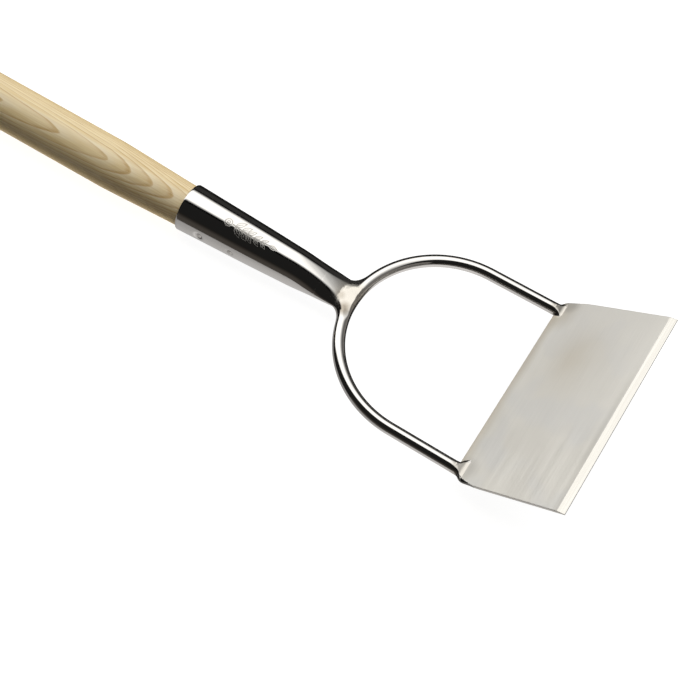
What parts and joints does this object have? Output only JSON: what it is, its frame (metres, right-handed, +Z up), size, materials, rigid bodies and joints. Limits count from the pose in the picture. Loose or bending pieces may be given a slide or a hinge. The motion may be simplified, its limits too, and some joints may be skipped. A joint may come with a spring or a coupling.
{
  "type": "stirrup hoe",
  "caption": "Rigid push hoe: flat bevelled blade welded across a round-bar stirrup, on a polished tapered steel socket riveted to a long straight ash shaft.",
  "frame": {"origin": "bottom centre of the whole tool's box: the shaft lies on z = 0, and x = 0 is half way between the butt end and the cutting edge", "axes": "+X along the shaft towards the blade, +Y across to the left, +Z up, square to the plane of the stirrup, on the side that faces the user"},
  "size_m": [1.5986, 0.15, 0.0547],
  "materials": {
    "ash_wood": "smooth turned ash, clear oiled, pale honey with open grain",
    "polished_steel": "mirror-polished stainless steel",
    "rivet_steel": "dressed flush and polished stainless steel",
    "satin_steel": "satin stainless steel, ground bevel along the cutting edge"
  },
  "bodies": {
    "root": {"shaft": "ash_wood", "socket": "polished_steel", "rivet_rear": "rivet_steel", "rivet_front": "rivet_steel", "stirrup_bar": "polished_steel", "weld_neck": "polished_steel", "weld_left": "polished_steel", "weld_right": "polished_steel", "blade": "satin_steel"}
  },
  "joints": []
}
